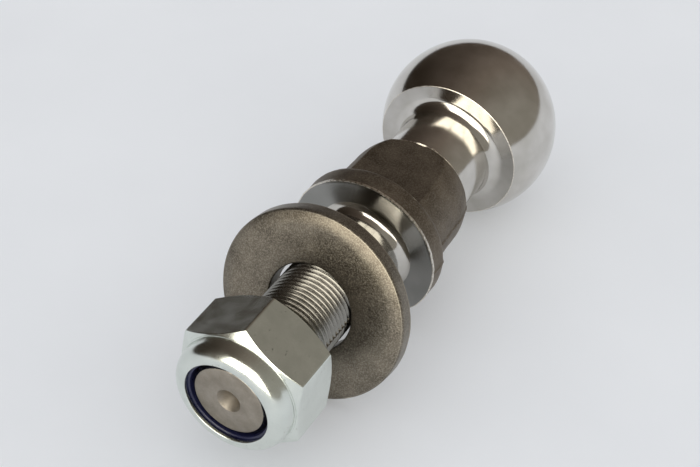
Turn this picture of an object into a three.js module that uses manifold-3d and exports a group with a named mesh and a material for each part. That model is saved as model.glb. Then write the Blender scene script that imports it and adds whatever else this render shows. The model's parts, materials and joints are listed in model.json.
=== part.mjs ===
// Tow ball for a drawbar: a one-piece ball stud with a plain washer and a nylon-insert locknut.
// Millimetres, +Z up. The stud lies along Y with its ball towards +Y, and rests on the washer's rim.
// Each piece is drawn about its own Z axis, then laid down. On the stud, z = 0 is the flange's seat.
import * as THREE from 'three';
import { mergeVertices } from 'three/addons/utils/BufferGeometryUtils.js';
import Module from 'manifold-3d';

const wasm = await Module();
wasm.setup();

// ---- driving dimensions ----
const BALL_RADIUS = 25;
const BALL_HEIGHT = 62.6; // seat to ball centre
const BALL_CUT_DEPTH = 13.6; // ball centre down to the flat ring under the ball
const NECK_RADIUS = 13.8;
const NECK_TOP_FILLET = 3.6;
const BODY_BEVEL = 2; // turned bevel from the forged body up to the neck
const BODY_SHOULDER_RADIUS = 17.3;
const BODY_FOOT_RADIUS = 17.7;
const BODY_TOP = 29.8;
const BODY_SHOULDER = 22.1;
const ACROSS_FLATS = 27; // spanner flats on the body
const FLANGE_RADIUS = 21.2;
const FLANGE_TOP = 7.1;
const FLANGE_CORNER = 1.2;
const SEAT_CHAMFER = 0.3;
const SHANK_RADIUS = 11.1;
const SHANK_FILLET = 3.4;
const THREAD_TOP = -13.4;
const STUD_END = -65.2;

const THREAD_RADIUS = 11; // M22 x 1.5, right hand
const THREAD_PITCH = 1.5;
const THREAD_DEPTH = 0.85;
const THREAD_FLANK = Math.PI / 6;
const CREST_WIDTH = THREAD_PITCH / 8;
const NUT_BORE_RADIUS = 11.4; // clears the stud's thread
const NUT_COUNTERSINK = 0.6;
const END_CHAMFER = 1.3;
const CENTRE_RADIUS = 3.3; // turning centre in the end face
const CENTRE_PILOT_RADIUS = 1.1;
const CENTRE_PILOT_DEPTH = 1.6;

const WASHER_RADIUS = 26.6;
const WASHER_HOLE_RADIUS = 12.35;
const WASHER_THICKNESS = 5.2;
const WASHER_ROLL = 0.9; // rounding that the punch leaves on one face
const WASHER_EDGE = 0.25; // broken edges elsewhere
const WASHER_CENTRE = -25.2;
const WASHER_LEAN = THREE.MathUtils.degToRad(13.6); // it stands loose on the thread

const NUT_ACROSS_FLATS = 33.5;
const NUT_SEAT = -44.6; // face that bears on the washer
const NUT_HEIGHT = 22;
const NUT_HEX_HEIGHT = 16.3;
const NUT_CORNER_TURN = THREE.MathUtils.degToRad(4.1); // rest angle of the upper corner
const COLLAR_RADIUS = 16;
const COLLAR_ROUND = 3.7;
const COLLAR_LIP_RADIUS = 11.8;
const COLLAR_LIP = 0.9;
const INSERT_RADIUS = 13.1;
const INSERT_BORE_RADIUS = 11.3;
const INSERT_HEIGHT = 4.2;
const PIECE_GAP = 0.3; // between pieces that touch

const LATHE_SEGMENTS = 48;
const THREAD_SEGMENTS = 16; // per turn
const ARC_STEP = THREE.MathUtils.degToRad(15);

// ---- helpers ----
function point(radius, height) {
  return new THREE.Vector2(radius, height);
}

// points of an arc, both ends included; angles in degrees from the +radius direction
function arc(radius, height, size, startDegrees, endDegrees) {
  const start = THREE.MathUtils.degToRad(startDegrees);
  const end = THREE.MathUtils.degToRad(endDegrees);
  const steps = Math.max(2, Math.ceil(Math.abs(end - start) / ARC_STEP));
  const curve = new THREE.EllipseCurve(radius, height, size, size, start, end, end < start);
  return curve.getPoints(steps);
}

// closed solid of a three.js geometry, with its shared vertices merged
function solid(geometry) {
  const bare = geometry.clone();
  bare.deleteAttribute('normal');
  bare.deleteAttribute('uv');
  const merged = mergeVertices(bare);
  const corners = merged.index.array;
  const kept = [];
  for (let i = 0; i < corners.length; i += 3) {
    const [a, b, c] = corners.slice(i, i + 3);
    if (a !== b && b !== c && c !== a) {
      kept.push(a, b, c);
    }
  }
  return new wasm.Manifold(new wasm.Mesh({
    numProp: 3,
    vertProperties: new Float32Array(merged.attributes.position.array),
    triVerts: new Uint32Array(kept),
  }));
}

function toGeometry(body) {
  const { vertProperties, triVerts } = body.getMesh();
  const geometry = new THREE.BufferGeometry();
  geometry.setAttribute('position', new THREE.BufferAttribute(vertProperties, 3));
  geometry.setIndex(new THREE.BufferAttribute(triVerts, 1));
  geometry.computeVertexNormals();
  return geometry;
}

// solid of revolution about Z; the outline runs upwards on the outside
function turned(outline, segments = LATHE_SEGMENTS) {
  const lathe = new THREE.LatheGeometry(outline, segments);
  lathe.rotateX(Math.PI / 2);
  return solid(lathe);
}

// helix whose frames keep the section's x axis radial and its y axis along the screw
class ThreadPath extends THREE.Curve {
  constructor(bottom, turns) {
    super();
    this.bottom = bottom;
    this.turns = turns;
  }

  getPoint(t, target = new THREE.Vector3()) {
    const angle = 2 * Math.PI * this.turns * t;
    return target.set(
      THREAD_RADIUS * Math.cos(angle),
      THREAD_RADIUS * Math.sin(angle),
      this.bottom + THREAD_PITCH * this.turns * t,
    );
  }

  computeFrenetFrames(steps) {
    const frames = { tangents: [], normals: [], binormals: [] };
    for (let i = 0; i <= steps; i += 1) {
      const angle = 2 * Math.PI * this.turns * i / steps;
      frames.tangents.push(new THREE.Vector3(-Math.sin(angle), Math.cos(angle), 0));
      frames.normals.push(new THREE.Vector3(Math.cos(angle), Math.sin(angle), 0));
      frames.binormals.push(new THREE.Vector3(0, 0, -1));
    }
    return frames;
  }
}

// right-hand screw: a ridge wound round a core, which reaches one pitch past both ends
function screw(bottom, top) {
  const buried = 0.15; // depth of the ridge's base inside the core
  const baseDepth = THREAD_DEPTH + buried;
  const baseHalf = CREST_WIDTH / 2 + baseDepth * Math.tan(THREAD_FLANK);
  const section = new THREE.Shape([
    point(-baseDepth, -baseHalf),
    point(0, -CREST_WIDTH / 2),
    point(0, CREST_WIDTH / 2),
    point(-baseDepth, baseHalf),
  ]);
  const turns = Math.ceil((top - bottom) / THREAD_PITCH);
  const ridge = new THREE.ExtrudeGeometry(section, {
    steps: turns * THREAD_SEGMENTS,
    extrudePath: new ThreadPath(top - turns * THREAD_PITCH, turns),
  });
  const core = turned([
    point(0, bottom - THREAD_PITCH),
    point(THREAD_RADIUS - THREAD_DEPTH, bottom - THREAD_PITCH),
    point(THREAD_RADIUS - THREAD_DEPTH, top + THREAD_PITCH),
    point(0, top + THREAD_PITCH),
  ], THREAD_SEGMENTS);
  return core.add(solid(ridge));
}

// ---- ball stud: one forging, turned at the ball, neck, seat and shank ----
function ballOutline() {
  const cutAngle = THREE.MathUtils.radToDeg(Math.asin(BALL_CUT_DEPTH / BALL_RADIUS));
  return arc(0, BALL_HEIGHT, BALL_RADIUS, -cutAngle, 90);
}

function neckOutline() {
  const ring = BALL_HEIGHT - BALL_CUT_DEPTH;
  return [
    point(NECK_RADIUS, BODY_TOP + BODY_BEVEL),
    ...arc(NECK_RADIUS + NECK_TOP_FILLET, ring - NECK_TOP_FILLET, NECK_TOP_FILLET, 180, 90),
  ];
}

function bodyOutline() {
  const shoulder = new THREE.QuadraticBezierCurve(
    point(BODY_SHOULDER_RADIUS, BODY_SHOULDER),
    point(BODY_SHOULDER_RADIUS, BODY_TOP - 4),
    point(NECK_RADIUS + BODY_BEVEL, BODY_TOP),
  );
  return [point(BODY_FOOT_RADIUS, FLANGE_TOP + 0.3), ...shoulder.getPoints(5)];
}

function flangeOutline() {
  return [
    point(FLANGE_RADIUS - SEAT_CHAMFER, 0),
    point(FLANGE_RADIUS, SEAT_CHAMFER),
    ...arc(FLANGE_RADIUS - FLANGE_CORNER, FLANGE_TOP - FLANGE_CORNER, FLANGE_CORNER, 0, 90),
  ];
}

function studBlank() {
  return turned([
    point(0, THREAD_TOP - THREAD_PITCH),
    point(THREAD_RADIUS - THREAD_DEPTH, THREAD_TOP - THREAD_PITCH),
    point(THREAD_RADIUS - THREAD_DEPTH, THREAD_TOP - THREAD_DEPTH),
    point(SHANK_RADIUS, THREAD_TOP),
    ...arc(SHANK_RADIUS + SHANK_FILLET, -SHANK_FILLET, SHANK_FILLET, 180, 90),
    ...flangeOutline(),
    ...bodyOutline(),
    ...neckOutline(),
    ...ballOutline(),
  ]);
}

// two boxes that leave the body's spanner flats, facing +Y and -Y before the stud is laid down
function flatCutters() {
  const depth = BODY_FOOT_RADIUS;
  const height = BODY_TOP + BODY_BEVEL - FLANGE_TOP;
  const cutters = [1, -1].map((side) => {
    const box = new THREE.BoxGeometry(3 * BODY_FOOT_RADIUS, depth, height);
    box.translate(0, side * (ACROSS_FLATS + depth) / 2, FLANGE_TOP + height / 2);
    return solid(box);
  });
  return cutters[0].add(cutters[1]);
}

// what is left of the threaded end once its chamfer is turned
function endEnvelope() {
  const chamferHeight = END_CHAMFER * Math.tan(Math.PI / 3);
  return turned([
    point(0, STUD_END),
    point(THREAD_RADIUS - END_CHAMFER, STUD_END),
    point(THREAD_RADIUS + 1, STUD_END + chamferHeight * (1 + 1 / END_CHAMFER)),
    point(THREAD_RADIUS + 1, THREAD_TOP),
    point(0, THREAD_TOP),
  ]);
}

function turningCentre() {
  const coneDepth = (CENTRE_RADIUS - CENTRE_PILOT_RADIUS) / Math.tan(Math.PI / 6);
  const pilot = STUD_END + coneDepth + CENTRE_PILOT_DEPTH;
  const below = 1;
  return turned([
    point(0, STUD_END - below),
    point(CENTRE_RADIUS + below * Math.tan(Math.PI / 6), STUD_END - below),
    point(CENTRE_PILOT_RADIUS, STUD_END + coneDepth),
    point(CENTRE_PILOT_RADIUS, pilot),
    point(0, pilot + CENTRE_PILOT_RADIUS * Math.tan(Math.PI / 6)),
  ], THREAD_SEGMENTS);
}

function ballStud() {
  const threadedEnd = screw(STUD_END, THREAD_TOP)
    .intersect(endEnvelope())
    .subtract(turningCentre());
  return studBlank().subtract(flatCutters()).add(threadedEnd);
}

// ---- washer: punched disc, rounded on the face that the punch met first ----
function washer() {
  const half = WASHER_THICKNESS / 2;
  const outline = [
    point(WASHER_HOLE_RADIUS + WASHER_EDGE, half),
    point(WASHER_HOLE_RADIUS, half - WASHER_EDGE),
    point(WASHER_HOLE_RADIUS, -half + WASHER_EDGE),
    point(WASHER_HOLE_RADIUS + WASHER_EDGE, -half),
    ...arc(WASHER_RADIUS - WASHER_ROLL, -half + WASHER_ROLL, WASHER_ROLL, 270, 360),
    point(WASHER_RADIUS, half - WASHER_EDGE),
    point(WASHER_RADIUS - WASHER_EDGE, half),
    point(WASHER_HOLE_RADIUS + WASHER_EDGE, half),
  ];
  return turned(outline);
}

// ---- locknut: hexagon with a crimped collar round the nylon insert; z = 0 is its bearing face ----
function hexagon() {
  const cornerRadius = NUT_ACROSS_FLATS / Math.sqrt(3);
  const corners = Array.from({ length: 6 }, (_, i) => {
    const angle = i * Math.PI / 3 - Math.PI / 2 + NUT_CORNER_TURN;
    return point(cornerRadius * Math.cos(angle), cornerRadius * Math.sin(angle));
  });
  const prism = new THREE.ExtrudeGeometry(new THREE.Shape(corners), {
    depth: NUT_HEX_HEIGHT,
    bevelEnabled: false,
  });
  prism.translate(0, 0, -NUT_HEX_HEIGHT);
  const faceRadius = NUT_ACROSS_FLATS / 2 - 0.4;
  const rise = (cornerRadius - faceRadius) * Math.tan(Math.PI / 6);
  const chamfers = turned([
    point(0, -NUT_HEX_HEIGHT),
    point(faceRadius, -NUT_HEX_HEIGHT),
    point(cornerRadius, -NUT_HEX_HEIGHT + rise),
    point(cornerRadius, -rise),
    point(faceRadius, 0),
    point(0, 0),
  ]);
  return solid(prism).intersect(chamfers);
}

function collar() {
  return turned([
    point(0, -NUT_HEIGHT),
    ...arc(COLLAR_RADIUS - COLLAR_ROUND, -NUT_HEIGHT + COLLAR_ROUND, COLLAR_ROUND, 270, 360),
    point(COLLAR_RADIUS, -NUT_HEX_HEIGHT + 1),
    point(0, -NUT_HEX_HEIGHT + 1),
  ]);
}

// space for the stud and the insert: countersunk at the bearing face, open through the lip
function nutBore() {
  const pocketRadius = INSERT_RADIUS + PIECE_GAP;
  const pocketBottom = -NUT_HEIGHT + COLLAR_LIP;
  const pocketTop = pocketBottom + INSERT_HEIGHT + 2 * PIECE_GAP;
  const beyond = 1;
  return turned([
    point(0, -NUT_HEIGHT - beyond),
    point(COLLAR_LIP_RADIUS, -NUT_HEIGHT - beyond),
    point(COLLAR_LIP_RADIUS, pocketBottom),
    point(pocketRadius, pocketBottom),
    point(pocketRadius, pocketTop),
    point(NUT_BORE_RADIUS, pocketTop),
    point(NUT_BORE_RADIUS, -NUT_COUNTERSINK),
    point(NUT_BORE_RADIUS + NUT_COUNTERSINK + beyond, beyond),
    point(0, beyond),
  ]);
}

function nutBody() {
  return hexagon().add(collar()).subtract(nutBore());
}

function insert() {
  const bottom = -NUT_HEIGHT + COLLAR_LIP + PIECE_GAP;
  return turned([
    point(INSERT_BORE_RADIUS, bottom + INSERT_HEIGHT),
    point(INSERT_BORE_RADIUS, bottom),
    point(INSERT_RADIUS, bottom),
    point(INSERT_RADIUS, bottom + INSERT_HEIGHT),
    point(INSERT_BORE_RADIUS, bottom + INSERT_HEIGHT),
  ]);
}

// ---- materials ----
function steel(color, roughness) {
  return new THREE.MeshStandardMaterial({ color, roughness, metalness: 1 });
}

function nylon() {
  return new THREE.MeshStandardMaterial({ color: 0x2b2c55, roughness: 0.35, metalness: 0 });
}

// ---- assembly ----
function piece(name, body, material) {
  const mesh = new THREE.Mesh(toGeometry(body), material);
  mesh.name = name;
  return mesh;
}

// height of the stud's axis over the lowest point of the leaning washer
function axisHeight() {
  return WASHER_RADIUS * Math.cos(WASHER_LEAN)
    + (WASHER_THICKNESS / 2 - WASHER_EDGE) * Math.sin(WASHER_LEAN);
}

function assembly() {
  const studAxis = new THREE.Group();
  studAxis.add(piece('ball_stud', ballStud(), steel(0x8f8a82, 0.35)));

  const washerMesh = piece('washer', washer(), steel(0x6b6253, 0.6));
  washerMesh.position.z = WASHER_CENTRE;
  washerMesh.rotation.x = -WASHER_LEAN;
  studAxis.add(washerMesh);

  const nut = new THREE.Group();
  nut.position.z = NUT_SEAT;
  nut.add(piece('nut_body', nutBody(), steel(0xb9c0bb, 0.3)));
  nut.add(piece('nylon_insert', insert(), nylon()));
  studAxis.add(nut);

  // laid down: the stud's Z axis points along +Y, and the bounding box stands on z = 0
  const high = BALL_HEIGHT + BALL_RADIUS;
  const low = NUT_SEAT - NUT_HEIGHT;
  studAxis.rotation.x = -Math.PI / 2;
  studAxis.position.set(0, -(high + low) / 2, axisHeight());

  const root = new THREE.Group();
  root.add(studAxis);
  return root;
}

export default assembly();
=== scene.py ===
"""Looks for a tow ball stud with its loose washer and nylon-insert locknut, lying on pale paper."""

import json
import math

import bmesh
import bpy
from mathutils import Matrix, Vector, noise


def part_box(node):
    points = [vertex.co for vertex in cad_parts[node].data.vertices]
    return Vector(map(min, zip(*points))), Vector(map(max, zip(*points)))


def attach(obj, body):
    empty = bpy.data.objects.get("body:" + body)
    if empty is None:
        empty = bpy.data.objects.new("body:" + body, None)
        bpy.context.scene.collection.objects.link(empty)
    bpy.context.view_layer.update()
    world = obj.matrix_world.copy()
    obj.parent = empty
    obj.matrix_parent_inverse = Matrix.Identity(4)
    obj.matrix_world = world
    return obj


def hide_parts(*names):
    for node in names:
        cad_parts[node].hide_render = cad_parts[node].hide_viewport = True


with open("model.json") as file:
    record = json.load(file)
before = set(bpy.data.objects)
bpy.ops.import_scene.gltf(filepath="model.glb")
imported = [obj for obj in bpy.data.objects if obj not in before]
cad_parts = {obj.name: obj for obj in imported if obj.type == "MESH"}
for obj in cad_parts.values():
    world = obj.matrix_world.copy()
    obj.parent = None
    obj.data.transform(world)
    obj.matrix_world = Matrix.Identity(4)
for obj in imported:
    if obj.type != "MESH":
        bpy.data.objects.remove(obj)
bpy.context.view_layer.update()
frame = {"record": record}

MM = 0.001
RECORD = frame["record"]
MOUNTS = {m["name"]: m for m in RECORD["mounts"]}

# ---- places in the frame, in metres ----
SEAT_Y = MOUNTS["flange_seat"]["pos_m"][1]
AXIS_Z = MOUNTS["flange_seat"]["pos_m"][2]
STUD_LOW, STUD_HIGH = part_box("ball_stud")
WASHER_LOW, WASHER_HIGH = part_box("washer")
NUT_LOW, NUT_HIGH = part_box("nut_body")
INSERT_LOW, INSERT_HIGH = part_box("nylon_insert")

# ---- sizes in millimetres; on the stud, height 0 is the flange's seat ----
BALL_TOP = (STUD_HIGH.y - SEAT_Y) / MM
STUD_END = (STUD_LOW.y - SEAT_Y) / MM
BALL_RADIUS = 25.0
BALL_CENTRE = BALL_TOP - BALL_RADIUS
BALL_CUT_DEPTH = 13.6
RING_HEIGHT = BALL_CENTRE - BALL_CUT_DEPTH
NECK_RADIUS = 13.8
NECK_TOP_FILLET = 3.6
BODY_BEVEL = 2.0
BODY_TOP = 29.8
BODY_SHOULDER = 22.1
BODY_SHOULDER_RADIUS = 17.3
BODY_FOOT_RADIUS = 17.7
HALF_FLATS = (MOUNTS["stud_flat_upper"]["pos_m"][2] - AXIS_Z) / MM
BRIGHT_EDGE = 0.3  # the turned bevel leaves a bright line on the forging's edge
FLAT_BLEND = 0.08  # softness of the edge between a spanner flat and the round body
FLASH_HEIGHT = 0.45
FLASH_WIDTH = 0.7
FLANGE_RADIUS = 21.15
FLANGE_TOP = 7.1
FLANGE_CORNER = 1.6
FLANGE_ROOT = 0.5
SHANK_RADIUS = 11.1
SHANK_FILLET = 3.4
FACE_DISH = math.tan(math.radians(4))  # the ring face is slightly hollow towards the middle
FACE_FILLET_END = 94  # degrees; where the neck's fillet meets that hollow face
SEAT_DISH = math.tan(math.radians(5))  # and so is the seat
SEAT_FILLET_END = 96
THREAD_TOP = -13.4
THREAD_RADIUS = 11.0
THREAD_DEPTH = 0.88
THREAD_PITCH = 1.5
THREAD_CORE = 9.4  # the shank's mesh fills the thread's hidden upper end out to here
THREAD_OVERLAP = 3.0
END_CHAMFER = 1.3
CENTRE_RADIUS = 3.3
PILOT_RADIUS = 1.1
PILOT_DEPTH = 2.2

WASHER_RADIUS = (WASHER_HIGH.x - WASHER_LOW.x) / 2 / MM
WASHER_THICKNESS = 5.2
WASHER_HOLE = 12.1
WASHER_ROLL = 11.0  # large rounding of the face towards the nut
WASHER_CORNER = 0.85
WASHER_LEAN = math.acos(MOUNTS["washer_clamping_face"]["axis"][1])

NUT_HEIGHT = (NUT_HIGH.y - NUT_LOW.y) / MM
NUT_HALF_FLATS = 16.75
NUT_CORNER_BLEND = 0.1
NUT_CHAMFER = math.tan(math.radians(30))
NUT_HEX_HEIGHT = 16.3
NUT_CORNER_TURN = math.radians(4.1)
COLLAR_RADIUS = 16.0
COLLAR_ROUND = 3.7
COLLAR_LIP_RADIUS = 11.8
NUT_BORE = 11.4
INSERT_SEAT_RADIUS = 13.3
INSERT_SEAT_DEPTH = 5.6
INSERT_OUTER = 13.0
INSERT_INNER = 11.05

SEGMENTS = 288  # steps round the axis
THREAD_SEGMENTS = 192
NUT_SEGMENTS = 360
SHARP_DEGREES = 14
THREAD_SHARP_DEGREES = 50
WELD = 0.0005  # nearer points are joined
POLISHED, FORGED, BRIGHT, SAWN, THREADED, SEAT_FACE = range(6)  # the stud's material regions

# ---- surroundings: lengths in metres, light in watts ----
PANE_WIDTH = 0.9
PANE_GAP = 0.06
PANE_HEIGHT = 2.7
PANE_POWER = 30
WINDOW_CENTRE = (0.45, -1.9, 1.46)
WINDOW_AIM = (0, 1.3)
WINDOW_COLOUR = (1.0, 0.95, 0.83)
CEILING_CENTRE = (0.5, 0.2, 2.2)
CEILING_SIZE = 9
CEILING_POWER = 190
CEILING_COLOUR = (0.93, 0.96, 1.0)
FLOOR_SIZE = 12
FLOOR_GAP = 0.05 * MM
FLOOR_GLOW = 0.21
CAMERA_FROM_BALL = (0.1613, -0.3612, 0.2971)
CAMERA_RIGHT = (0.8674, 0.4974, 0.0180)
CAMERA_UP = (-0.3365, 0.5594, 0.7575)
CAMERA_LENS = 87.4
CAMERA_SENSOR = 36


# ---- mesh helpers ----
def arc(centre_radius, centre_height, size, start, end, step=4):
    """Points (radius, height) of an arc; angles in degrees from the outward direction."""
    count = max(2, math.ceil(abs(end - start) / step))
    points = []
    for i in range(count + 1):
        angle = math.radians(start + (end - start) * i / count)
        points.append((centre_radius + size * math.cos(angle), centre_height + size * math.sin(angle)))
    return points


def tag(points, region):
    """The same points, each with the material region of the surface that follows it."""
    return [(radius, height, region) for radius, height in points]


def revolve(name, column, segments=SEGMENTS, closed=False, sharp_degrees=SHARP_DEGREES):
    """Mesh from column(angle), a list of (radius, height, region) of fixed length, in mm.

    With closed set, the outline's last point joins its first; else it starts and ends on the axis.
    """
    mesh = bmesh.new()
    rings = []
    regions = []
    for i in range(segments):
        angle = 2 * math.pi * i / segments
        outline = column(angle)
        regions = [region for _, _, region in outline]
        rings.append([
            mesh.verts.new((radius * math.cos(angle) * MM, height * MM, radius * math.sin(angle) * MM))
            for radius, height, _ in outline
        ])
    count = len(regions) if closed else len(regions) - 1
    for i in range(segments):
        here = rings[i]
        there = rings[(i + 1) % segments]
        for k in range(count):
            after = (k + 1) % len(regions)
            face = mesh.faces.new((here[k], there[k], there[after], here[after]))
            face.material_index = regions[k]
    return finish_mesh(name, mesh, sharp_degrees)


def finish_mesh(name, mesh, sharp_degrees):
    """Welds the mesh, smooths it except at sharp edges, and puts it in the scene."""
    bmesh.ops.remove_doubles(mesh, verts=mesh.verts, dist=WELD * MM)
    bmesh.ops.recalc_face_normals(mesh, faces=mesh.faces)
    data = bpy.data.meshes.new(name)
    mesh.to_mesh(data)
    mesh.free()
    data.polygons.foreach_set("use_smooth", [True] * len(data.polygons))
    data.set_sharp_from_angle(angle=math.radians(sharp_degrees))
    piece = bpy.data.objects.new(name, data)
    bpy.context.collection.objects.link(piece)
    return piece


def place(piece, y, body, nodes, materials):
    """Moves the piece along the stud's axis to y, gives it its materials, ties it to its body and hides the
    CAD nodes that it stands in for.
    """
    piece.data.transform(Matrix.Translation((0, y, AXIS_Z)))
    for material in materials:
        piece.data.materials.append(material)
    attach(piece, body)
    if nodes:
        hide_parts(*nodes)


# ---- stud ----
def turned_outline():
    """Neck's upper fillet, ring face and ball, up to the pole."""
    cut = math.degrees(math.asin(BALL_CUT_DEPTH / BALL_RADIUS))
    fillet_centre = NECK_RADIUS + NECK_TOP_FILLET
    edge = BALL_RADIUS * math.cos(math.radians(cut))
    sunk = RING_HEIGHT + FACE_DISH * (edge - fillet_centre)
    points = arc(fillet_centre, sunk - NECK_TOP_FILLET, NECK_TOP_FILLET, 180, FACE_FILLET_END, 5)
    points += [(edge - 0.5, RING_HEIGHT + 0.5 * FACE_DISH), (edge - 0.12, RING_HEIGHT)]
    ball = arc(0, BALL_CENTRE, BALL_RADIUS, -cut + 0.3, 90, 2)
    return tag(points[:-1], POLISHED) + tag(points[-1:], BRIGHT) + tag(ball, POLISHED)


def bevel_start(angle):
    """Point where the bevel up to the neck begins; the spanner flats cut into the bevel."""
    radius = min(NECK_RADIUS + BODY_BEVEL, max(NECK_RADIUS, flat_limit(angle)))
    return radius, BODY_TOP + BODY_BEVEL - (radius - NECK_RADIUS)


def flat_limit(angle):
    """Distance from the axis to the plane of a spanner flat, in this direction."""
    return HALF_FLATS / max(abs(math.sin(angle)), 0.1)


def body_radius(height):
    """Forged body: a slight taper under a rounded shoulder."""
    if height < BODY_SHOULDER:
        part = (height - FLANGE_TOP) / (BODY_SHOULDER - FLANGE_TOP)
        return BODY_FOOT_RADIUS + (BODY_SHOULDER_RADIUS - BODY_FOOT_RADIUS) * part
    part = (height - BODY_SHOULDER) / (BODY_TOP - BODY_SHOULDER)
    drop = BODY_SHOULDER_RADIUS - NECK_RADIUS - BODY_BEVEL
    return BODY_SHOULDER_RADIUS - drop * min(part, 1.0) ** 2


def forged_skin(radius, angle, height):
    """Small hollows of the forging, and the flash along its two parting lines."""
    spot = Vector((math.cos(angle) * 3, math.sin(angle) * 3, height * 0.18))
    wave = 0.1 * noise.noise(spot) + 0.05 * noise.noise(spot * 4)
    off_line = abs(math.remainder(angle, math.pi)) * radius
    ragged = 0.7 + 0.6 * noise.noise(Vector((0, 0, height)))
    flash = FLASH_HEIGHT * max(0.0, 1 - off_line / FLASH_WIDTH) * ragged
    return radius + wave + flash


def body_column(angle):
    """Body with its two spanner flats, which face up and down, and the bright edge at its top."""
    steps = 60
    top_radius, top = bevel_start(angle)
    foot = FLANGE_TOP + FLANGE_ROOT
    points = []
    for i in range(steps + 1):
        height = foot + (top - BRIGHT_EDGE - foot) * i / steps
        radius = forged_skin(body_radius(height), angle, height)
        hollow = 0.06 * noise.noise(Vector((math.cos(angle) * 4, 0, height * 0.3)))
        radius = soft_min(radius, flat_limit(angle) + hollow, FLAT_BLEND)
        points.append((radius, height))
    edge = [(top_radius, top - 0.05)]
    bevel = [(top_radius - 0.1, top + 0.1), (NECK_RADIUS, BODY_TOP + BODY_BEVEL + 0.05)]
    return tag(points[:-1], FORGED) + tag(points[-1:] + edge, BRIGHT) + tag(bevel, POLISHED)


def soft_min(a, b, blend):
    """The smaller of two lengths, rounded where they cross."""
    gap = max(blend - abs(a - b), 0) / blend
    return min(a, b) - gap * gap * blend / 4


def flange_column(angle):
    """Turned seat, the burr that the cut left at its edge, and the forged rim."""
    around = Vector((math.cos(angle), math.sin(angle), 0))
    burr = 0.16 * noise.noise(around * 7) + 0.1 * noise.noise(around * 23)
    points = tag([(FLANGE_RADIUS - 1, 0.7 * SEAT_DISH), (FLANGE_RADIUS - 0.3 + 0.4 * burr, 0.0)], SEAT_FACE)
    points += tag([(FLANGE_RADIUS - 0.25 + 0.4 * burr, 0.0)], BRIGHT)
    points += tag([(FLANGE_RADIUS - 0.02 + burr, 0.06), (FLANGE_RADIUS + burr, 0.3 + burr)], BRIGHT)
    points += tag([(FLANGE_RADIUS + 0.02, 0.65 + burr)], FORGED)
    heights = [1.2, 2, 3, 4, 5]
    points += tag([(forged_skin(FLANGE_RADIUS, angle, h), h) for h in heights], FORGED)
    corner = arc(FLANGE_RADIUS - 1.7, FLANGE_TOP - FLANGE_CORNER, FLANGE_CORNER, 0, 90, 10)
    points += tag([(forged_skin(r, angle, h), h) for r, h in corner], FORGED)
    root = arc(BODY_FOOT_RADIUS + 0.55, FLANGE_TOP + FLANGE_ROOT, FLANGE_ROOT, 270, 200, 10)
    points += tag([(forged_skin(r, angle, h), h) for r, h in root], FORGED)
    return points


def shank_outline():
    """Plain shank and its fillet up to the seat, from the hidden core inside the thread."""
    core_end = THREAD_TOP - THREAD_OVERLAP
    points = [(0, core_end), (THREAD_CORE, core_end), (THREAD_CORE, THREAD_TOP - 0.4)]
    points += [(THREAD_RADIUS - 0.4, THREAD_TOP - 0.4), (SHANK_RADIUS, THREAD_TOP + 0.3)]
    fillet_centre = SHANK_RADIUS + SHANK_FILLET
    sunk = SEAT_DISH * (FLANGE_RADIUS - fillet_centre)
    points += arc(fillet_centre, sunk - SHANK_FILLET, SHANK_FILLET, 180, SEAT_FILLET_END, 5)
    return tag(points[:-1], POLISHED) + tag(points[-1:], SEAT_FACE)


def stud_column(angle):
    """The whole stud above its thread."""
    lower = shank_outline() + flange_column(angle)
    return lower + body_column(angle) + turned_outline()


# shape of one thread over a pitch, as (part of the pitch, part of the depth above its root)
THREAD_FORM = [(0.0, 0.0), (0.06, 0.02), (0.12, 0.1), (0.3, 0.62), (0.42, 0.93), (0.5, 1.0),
               (0.58, 0.93), (0.7, 0.62), (0.88, 0.1), (0.94, 0.02)]


def thread_limit(height):
    """Largest radius that the end chamfer leaves at this height."""
    chamfer = (height - STUD_END) / math.tan(math.radians(60))
    return min(THREAD_RADIUS, THREAD_RADIUS - END_CHAMFER + chamfer)


def thread_depth(height):
    """The thread runs out over its last turn below the shank."""
    run_out = (THREAD_TOP - height) / THREAD_PITCH
    return THREAD_DEPTH * min(1.0, max(0.0, run_out))


def end_face():
    """Turning centre with its pilot hole, and the flat end round it."""
    cone_end = STUD_END + (CENTRE_RADIUS - PILOT_RADIUS) / math.tan(math.radians(30))
    rim = THREAD_RADIUS - END_CHAMFER
    points = [(0.0, cone_end + PILOT_DEPTH), (PILOT_RADIUS, cone_end + PILOT_DEPTH)]
    points += [(PILOT_RADIUS, cone_end), (CENTRE_RADIUS - 0.15, STUD_END + 0.3)]
    points += [(CENTRE_RADIUS + 0.1, STUD_END)]
    points += [(rim - 0.25, STUD_END), (rim - 0.05, STUD_END + 0.06)]
    return tag(points, SAWN)


def thread_column(angle):
    """Right-hand thread: each angle sees the same form, shifted along by its part of the pitch."""
    turns = math.ceil((THREAD_TOP - STUD_END) / THREAD_PITCH) + 2
    start = STUD_END - THREAD_PITCH
    shift = THREAD_PITCH * angle / (2 * math.pi)
    skin = []
    for turn in range(turns):
        for part, rise in THREAD_FORM:
            height = start + (turn + part) * THREAD_PITCH - shift
            height = min(max(height, STUD_END + 0.1), THREAD_TOP + 0.2)
            depth = thread_depth(height)
            skin.append((min(THREAD_RADIUS - depth * (1 - rise), thread_limit(height)), height))
    top = [(THREAD_RADIUS - 1.2, THREAD_TOP + 0.2), (0.0, THREAD_TOP + 0.2)]
    return end_face() + tag(skin + top, THREADED)


def make_stud(materials):
    shape = revolve("stud_shape", stud_column)
    place(shape, SEAT_Y, "stud", ["ball_stud"], materials)
    thread = revolve("stud_thread", thread_column, THREAD_SEGMENTS, sharp_degrees=THREAD_SHARP_DEGREES)
    place(thread, SEAT_Y, "stud", [], materials)


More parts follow.
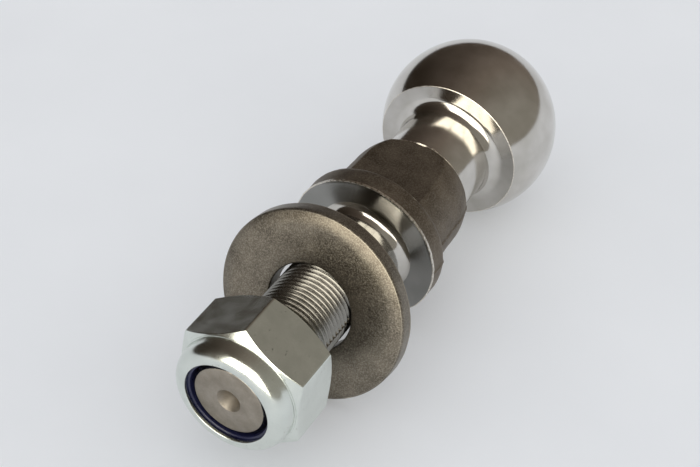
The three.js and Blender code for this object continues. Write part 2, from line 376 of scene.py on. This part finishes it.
# ---- washer ----
def washer_column(angle):
    """Punched disc, pillowed and rolled on the face towards the nut, with a burr on the other."""
    half = WASHER_THICKNESS / 2
    spot = Vector((math.cos(angle) * 2, math.sin(angle) * 2, 0))
    ripple = 0.06 * noise.noise(spot * 3) + 0.03 * noise.noise(spot * 11)
    inner = WASHER_HOLE
    outer = WASHER_RADIUS - 0.03
    points = [(inner, half - 0.3), (inner, -half + 0.8)]
    points += arc(inner + 0.45, -half + 0.5, 0.45, 180, 270, 15)
    points += [(inner + 3, -half - 0.01), (inner + 6, -half)]
    points += arc(outer - 4.6, -half + WASHER_ROLL, WASHER_ROLL, 272, 292, 4)
    points += arc(outer - WASHER_CORNER + ripple * 0.3, -half + 1.5, WASHER_CORNER, 296, 360, 12)
    points += [(outer + ripple * 0.4, 0.5), (outer - 0.05 + ripple * 0.5, 1.3)]
    points += [(outer - 0.03 + ripple, half - 0.25), (outer - 0.28 + ripple, half)]
    points += [(outer - 1.2, half), (inner + 1.2, half), (inner + 0.3, half)]
    return tag(points, 0)


def make_washer(material):
    piece = revolve("washer_disc", washer_column, closed=True)
    piece.data.transform(Matrix.Rotation(-WASHER_LEAN, 4, "X"))
    middle = (WASHER_LOW.y + WASHER_HIGH.y) / 2
    place(piece, middle, "loose_washer", ["washer"], [material])


# ---- nut ----
def hex_radius(angle):
    """Distance from the axis to the hexagon's flats, with its corners slightly rounded."""
    sector = math.pi / 3
    from_corner = math.remainder(angle - math.pi / 2 + NUT_CORNER_TURN, sector)
    from_flat = sector / 2 - abs(from_corner)
    corner = NUT_HALF_FLATS / math.cos(math.pi / 6) - 0.12
    return soft_min(NUT_HALF_FLATS / math.cos(from_flat), corner, NUT_CORNER_BLEND)


def nut_column(angle):
    """Hexagon, collar and the seat of the insert; height 0 is the bearing face."""
    side = hex_radius(angle)
    face = NUT_HALF_FLATS - 0.4
    rise = (side - face) * NUT_CHAMFER
    lip = COLLAR_LIP_RADIUS
    points = [(NUT_BORE + 0.6, 0), (face - 0.1, 0), (face + 0.05, -0.06)]
    points += [(side - 0.12, -rise + 0.04), (side, -rise - 0.12)]
    points += [(side, -NUT_HEX_HEIGHT / 2), (side, -NUT_HEX_HEIGHT + rise + 0.15)]
    points += [(side - 0.15, -NUT_HEX_HEIGHT + rise - 0.03), (face, -NUT_HEX_HEIGHT + 0.02)]
    points += arc(COLLAR_RADIUS + 0.3, -NUT_HEX_HEIGHT - 0.25, 0.3, 60, 180, 20)
    points += arc(COLLAR_RADIUS - COLLAR_ROUND, -NUT_HEIGHT + COLLAR_ROUND, COLLAR_ROUND, 0, -84, 6)
    points += arc(lip + 0.22, -NUT_HEIGHT + 0.25, 0.25, 270, 180, 15)
    seat_end = INSERT_SEAT_DEPTH - NUT_HEIGHT
    points += [(lip, -NUT_HEIGHT + 0.9), (INSERT_SEAT_RADIUS, -NUT_HEIGHT + 0.95)]
    points += [(INSERT_SEAT_RADIUS, seat_end), (NUT_BORE, seat_end + 0.1), (NUT_BORE, -0.6)]
    return tag(points, 0)


def make_nut(material):
    piece = revolve("locknut", nut_column, NUT_SEGMENTS, closed=True)
    place(piece, NUT_HIGH.y, "nut", ["nut_body"], [material])


def insert_column(_angle):
    """Plain ring with a rounded edge where the stud comes out."""
    height = (INSERT_HIGH.y - INSERT_LOW.y) / MM
    rounding = 0.4
    points = [(INSERT_OUTER, height), (INSERT_INNER + 0.3, height), (INSERT_INNER, height - 0.3)]
    points += [(INSERT_INNER, 0.5)]
    points += arc(INSERT_INNER + rounding, rounding, rounding, 180, 270, 15)
    points += [(INSERT_OUTER, 0.0)]
    return tag(points, 0)


def make_insert(material):
    piece = revolve("insert_ring", insert_column, closed=True)
    place(piece, INSERT_LOW.y, "nut_carrier", ["nylon_insert"], [material])


# ---- materials ----
def new_material(name, metallic):
    """A material, its node tree and its shader."""
    material = bpy.data.materials.new(name)
    material.use_nodes = True
    shader = material.node_tree.nodes["Principled BSDF"]
    shader.inputs["Metallic"].default_value = metallic
    return material, material.node_tree, shader


def noise_node(tree, per_metre, detail):
    """Noise over real size, with this many features to the metre."""
    coordinates = tree.nodes.new("ShaderNodeTexCoord")
    texture = tree.nodes.new("ShaderNodeTexNoise")
    texture.inputs["Scale"].default_value = per_metre
    texture.inputs["Detail"].default_value = detail
    tree.links.new(coordinates.outputs["Object"], texture.inputs["Vector"])
    return texture.outputs["Fac"]


def turning_marks(tree, per_metre):
    """Fine rings round the stud's axis, on faces across it as well as along it."""
    links = tree.links
    coordinates = tree.nodes.new("ShaderNodeTexCoord")
    across = tree.nodes.new("ShaderNodeMapping")
    across.inputs["Location"].default_value = (0, 0, -AXIS_Z)
    across.inputs["Scale"].default_value = (1, 0, 1)
    radius = tree.nodes.new("ShaderNodeVectorMath")
    radius.operation = "LENGTH"
    split = tree.nodes.new("ShaderNodeSeparateXYZ")
    outline_spot = tree.nodes.new("ShaderNodeCombineXYZ")
    texture = tree.nodes.new("ShaderNodeTexNoise")
    texture.inputs["Scale"].default_value = per_metre
    texture.inputs["Detail"].default_value = 3
    links.new(coordinates.outputs["Object"], across.inputs["Vector"])
    links.new(across.outputs["Vector"], radius.inputs[0])
    links.new(coordinates.outputs["Object"], split.inputs["Vector"])
    links.new(radius.outputs["Value"], outline_spot.inputs["X"])
    links.new(split.outputs["Y"], outline_spot.inputs["Y"])
    links.new(outline_spot.outputs["Vector"], texture.inputs["Vector"])
    return texture.outputs["Fac"]


def ramp_node(tree, value, stops):
    """Colour from a value, through stops of (position, colour)."""
    ramp = tree.nodes.new("ShaderNodeValToRGB")
    elements = ramp.color_ramp.elements
    while len(elements) < len(stops):
        elements.new(0.5)
    for element, (position, colour) in zip(elements, stops):
        element.position = position
        element.color = (*colour, 1)
    tree.links.new(value, ramp.inputs["Fac"])
    return ramp.outputs["Color"]


def range_node(tree, value, low, high, start=0.3, end=0.7):
    """Low where the value is at start or below, high where it is at end or above."""
    node = tree.nodes.new("ShaderNodeMapRange")
    node.inputs["From Min"].default_value = start
    node.inputs["From Max"].default_value = end
    node.inputs["To Min"].default_value = low
    node.inputs["To Max"].default_value = high
    tree.links.new(value, node.inputs["Value"])
    return node.outputs["Result"]


def bump_node(tree, value, depth, normal=None):
    """Bump of this depth in metres, on top of another bump if there is one."""
    node = tree.nodes.new("ShaderNodeBump")
    node.inputs["Strength"].default_value = 1.0
    node.inputs["Distance"].default_value = depth
    tree.links.new(value, node.inputs["Height"])
    if normal:
        tree.links.new(normal, node.inputs["Normal"])
    return node.outputs["Normal"]


def mix_node(tree, factor, first, second):
    """First colour where the factor is 0, second where it is 1; each is a tuple or a socket."""
    node = tree.nodes.new("ShaderNodeMix")
    node.data_type = "RGBA"
    tree.links.new(factor, node.inputs["Factor"])
    colour_a, colour_b, colour_result = 6, 7, 2
    for socket, value in ((colour_a, first), (colour_b, second)):
        if isinstance(value, tuple):
            node.inputs[socket].default_value = (*value, 1)
        else:
            tree.links.new(value, node.inputs[socket])
    return node.outputs[colour_result]


def edge_node(tree, start, end):
    """1 along raised edges, from the mesh's own curvature."""
    geometry = tree.nodes.new("ShaderNodeNewGeometry")
    return range_node(tree, geometry.outputs["Pointiness"], 0.0, 1.0, start, end)


def polished_steel(name, dark, light):
    """Turned and polished, with faint rings round the axis and soft smears."""
    material, tree, shader = new_material(name, 1.0)
    smear = noise_node(tree, 130, 3)
    rings = turning_marks(tree, 7000)
    grain = noise_node(tree, 2600, 2)
    colour = ramp_node(tree, smear, [(0.3, dark), (0.7, light)])
    tree.links.new(colour, shader.inputs["Base Color"])
    tree.links.new(range_node(tree, smear, 0.1, 0.16), shader.inputs["Roughness"])
    normal = bump_node(tree, rings, 0.006 * MM)
    normal = bump_node(tree, grain, 0.0005 * MM, normal)
    tree.links.new(normal, shader.inputs["Normal"])
    return material


def rolled_thread():
    """Bright rolled thread with a little roughness from handling."""
    material, tree, shader = new_material("rolled_thread", 1.0)
    grain = noise_node(tree, 1400, 3)
    colour = ramp_node(tree, grain, [(0.3, (0.24, 0.232, 0.212)), (0.7, (0.28, 0.272, 0.25))])
    tree.links.new(colour, shader.inputs["Base Color"])
    tree.links.new(range_node(tree, grain, 0.2, 0.26), shader.inputs["Roughness"])
    tree.links.new(bump_node(tree, grain, 0.0003 * MM), shader.inputs["Normal"])
    return material


def forged_steel(name, dark, light, worn, rough):
    """Brown scale with a sand-like grain, rubbed bright along its sharpest edges."""
    material, tree, shader = new_material(name, 0.85)
    cloud = noise_node(tree, 170, 5)
    grain = noise_node(tree, 2600, 8)
    pits = noise_node(tree, 800, 3)
    skin = ramp_node(tree, cloud, [(0.3, dark), (0.72, light)])
    speck = range_node(tree, grain, 0.0, 0.4, 0.44, 0.68)
    skin = mix_node(tree, speck, skin, worn)
    colour = mix_node(tree, edge_node(tree, 0.525, 0.6), skin, worn)
    tree.links.new(colour, shader.inputs["Base Color"])
    tree.links.new(range_node(tree, grain, rough - 0.08, rough + 0.1), shader.inputs["Roughness"])
    normal = bump_node(tree, pits, 0.035 * MM)
    normal = bump_node(tree, grain, 0.03 * MM, normal)
    tree.links.new(normal, shader.inputs["Normal"])
    return material


def bright_steel():
    """Freshly cut or rubbed edges."""
    material, tree, shader = new_material("bright_steel", 1.0)
    grain = noise_node(tree, 1500, 4)
    colour = ramp_node(tree, grain, [(0.3, (0.5, 0.46, 0.4)), (0.7, (0.85, 0.82, 0.76))])
    tree.links.new(colour, shader.inputs["Base Color"])
    tree.links.new(range_node(tree, grain, 0.2, 0.45), shader.inputs["Roughness"])
    tree.links.new(bump_node(tree, grain, 0.02 * MM), shader.inputs["Normal"])
    return material


def sawn_steel():
    """The stud's end face: dull, grey-brown, finely pitted."""
    material, tree, shader = new_material("sawn_steel", 0.8)
    grain = noise_node(tree, 2200, 6)
    cloud = noise_node(tree, 300, 4)
    colour = ramp_node(tree, cloud, [(0.3, (0.25, 0.225, 0.19)), (0.7, (0.34, 0.31, 0.27))])
    tree.links.new(colour, shader.inputs["Base Color"])
    tree.links.new(range_node(tree, grain, 0.4, 0.6), shader.inputs["Roughness"])
    tree.links.new(bump_node(tree, grain, 0.02 * MM), shader.inputs["Normal"])
    return material


def zinc_plate():
    """Bright zinc with a cool tint, soft cloudy patches and a few dark spots."""
    material, tree, shader = new_material("zinc_plate", 1.0)
    cloud = noise_node(tree, 220, 5)
    spots = noise_node(tree, 1300, 2)
    colour = ramp_node(tree, cloud, [(0.3, (0.66, 0.7, 0.66)), (0.7, (0.74, 0.78, 0.74))])
    spotted = mix_node(tree, range_node(tree, spots, 0.0, 0.6, 0.7, 0.75), colour, (0.16, 0.15, 0.13))
    tree.links.new(spotted, shader.inputs["Base Color"])
    tree.links.new(range_node(tree, cloud, 0.16, 0.24), shader.inputs["Roughness"])
    normal = bump_node(tree, cloud, 0.003 * MM)
    normal = bump_node(tree, spots, 0.002 * MM, normal)
    tree.links.new(normal, shader.inputs["Normal"])
    return material


def nylon():
    """Navy plastic, slightly uneven in its shine."""
    material, tree, shader = new_material("navy_nylon", 0.0)
    cloud = noise_node(tree, 900, 3)
    colour = ramp_node(tree, cloud, [(0.3, (0.01, 0.012, 0.05)), (0.7, (0.02, 0.023, 0.085))])
    tree.links.new(colour, shader.inputs["Base Color"])
    tree.links.new(range_node(tree, cloud, 0.25, 0.42), shader.inputs["Roughness"])
    tree.links.new(bump_node(tree, cloud, 0.02 * MM), shader.inputs["Normal"])
    return material


def paper():
    """Pale paper that glows a little, like a light table, so shadows stay soft."""
    material, tree, shader = new_material("paper", 0.0)
    fibres = noise_node(tree, 900, 5)
    cloud = noise_node(tree, 14, 3)
    colour = ramp_node(tree, cloud, [(0.35, (0.655, 0.685, 0.725)), (0.65, (0.685, 0.715, 0.755))])
    tree.links.new(colour, shader.inputs["Base Color"])
    tree.links.new(range_node(tree, fibres, 0.75, 0.9), shader.inputs["Roughness"])
    shader.inputs["Emission Color"].default_value = (1.0, 1.0, 1.0, 1)
    shader.inputs["Emission Strength"].default_value = FLOOR_GLOW
    tree.links.new(bump_node(tree, fibres, 0.02 * MM), shader.inputs["Normal"])
    return material


# ---- surroundings ----
def make_floor():
    """Paper that touches both the washer's rim and the ball, so it tips by under a degree."""
    washer_foot = Vector((0, (WASHER_LOW.y + WASHER_HIGH.y) / 2, WASHER_LOW.z))
    ball_centre = Vector((0, STUD_HIGH.y - BALL_RADIUS * MM, AXIS_Z))
    run = ball_centre.y - washer_foot.y
    tip = math.atan2(ball_centre.z - BALL_RADIUS * MM - washer_foot.z, run)
    bpy.ops.mesh.primitive_plane_add(size=FLOOR_SIZE)
    floor = bpy.context.object
    floor.name = "paper_floor"
    floor.rotation_euler = (tip, 0, 0)
    floor.location = washer_foot - Vector((0, 0, FLOOR_GAP))
    floor.data.materials.append(paper())


def area_light(name, position, target, width, height, power, colour, mirrored):
    """A light that is either only mirrored in the metal or only lights dull surfaces."""
    data = bpy.data.lights.new(name, "AREA")
    data.shape = "RECTANGLE"
    data.size = width
    data.size_y = height
    data.energy = power
    data.color = colour
    light = bpy.data.objects.new(name, data)
    bpy.context.collection.objects.link(light)
    light.location = position
    light.rotation_euler = (Vector(target) - Vector(position)).to_track_quat("-Z", "Y").to_euler()
    light.visible_camera = False
    light.visible_glossy = mirrored
    light.visible_diffuse = not mirrored


def make_lights():
    """A three-pane window behind the camera, seen as reflections, and a wide soft ceiling."""
    middle, y, z = WINDOW_CENTRE
    for i in (-1, 0, 1):
        x = middle + i * (PANE_WIDTH + PANE_GAP)
        area_light(f"window_{i + 1}", (x, y, z), (x, *WINDOW_AIM), PANE_WIDTH, PANE_HEIGHT,
                   PANE_POWER, WINDOW_COLOUR, True)
    below = (CEILING_CENTRE[0], CEILING_CENTRE[1], 0)
    area_light("ceiling", CEILING_CENTRE, below, CEILING_SIZE, CEILING_SIZE,
               CEILING_POWER, CEILING_COLOUR, False)


def make_world():
    """A dim brown room, lighter towards +X."""
    world = bpy.data.worlds.new("room")
    bpy.context.scene.world = world
    world.use_nodes = True
    tree = world.node_tree
    coordinates = tree.nodes.new("ShaderNodeTexCoord")
    split = tree.nodes.new("ShaderNodeSeparateXYZ")
    tree.links.new(coordinates.outputs["Generated"], split.inputs["Vector"])
    across = range_node(tree, split.outputs["X"], 0.0, 1.0, -0.9, 0.8)
    room = [
        (0.0, (0.035, 0.027, 0.02)),
        (0.3, (0.1, 0.079, 0.064)),
        (0.6, (0.2, 0.165, 0.135)),
        (1.0, (0.32, 0.3, 0.26)),
    ]
    colour = ramp_node(tree, across, room)
    tree.links.new(colour, tree.nodes["Background"].inputs["Color"])


def make_camera():
    """Looks down the stud from its threaded end, placed from the ball's centre."""
    ball_centre = Vector((0, STUD_HIGH.y - BALL_RADIUS * MM, AXIS_Z))
    right = Vector(CAMERA_RIGHT)
    up = Vector(CAMERA_UP)
    turn = Matrix((right, up, right.cross(up))).transposed().to_4x4()
    data = bpy.data.cameras.new("camera")
    data.sensor_width = CAMERA_SENSOR
    data.lens = CAMERA_LENS
    data.clip_start = 0.01
    camera = bpy.data.objects.new("camera", data)
    bpy.context.collection.objects.link(camera)
    camera.matrix_world = Matrix.Translation(ball_centre + Vector(CAMERA_FROM_BALL)) @ turn
    bpy.context.scene.camera = camera


def stud_materials():
    """In the order of the stud's regions."""
    ball_polish = polished_steel("polished_steel", (0.52, 0.5, 0.46), (0.66, 0.64, 0.61))
    # The seat gets a much darker copy of the ball's polished steel: painted shade on the seat in the hollow
    # between the flange and the washer.
    shaded_seat_polish = polished_steel("seat_steel_painted_shade", (0.29, 0.29, 0.275), (0.37, 0.365, 0.35))
    dark, light, worn = (0.085, 0.066, 0.048), (0.17, 0.14, 0.108), (0.4, 0.36, 0.29)
    skin = forged_steel("forged_skin", dark, light, worn, 0.48)
    return [ball_polish, skin, bright_steel(), sawn_steel(), rolled_thread(), shaded_seat_polish]


def washer_material():
    """Paler and smoother than the stud's forged skin."""
    dark, light, worn = (0.1, 0.085, 0.066), (0.205, 0.18, 0.144), (0.5, 0.46, 0.38)
    return forged_steel("washer_skin", dark, light, worn, 0.35)


make_stud(stud_materials())
make_washer(washer_material())
make_nut(zinc_plate())
make_insert(nylon())
make_floor()
make_lights()
make_world()
make_camera()
bpy.context.scene.view_settings.view_transform = "Standard"
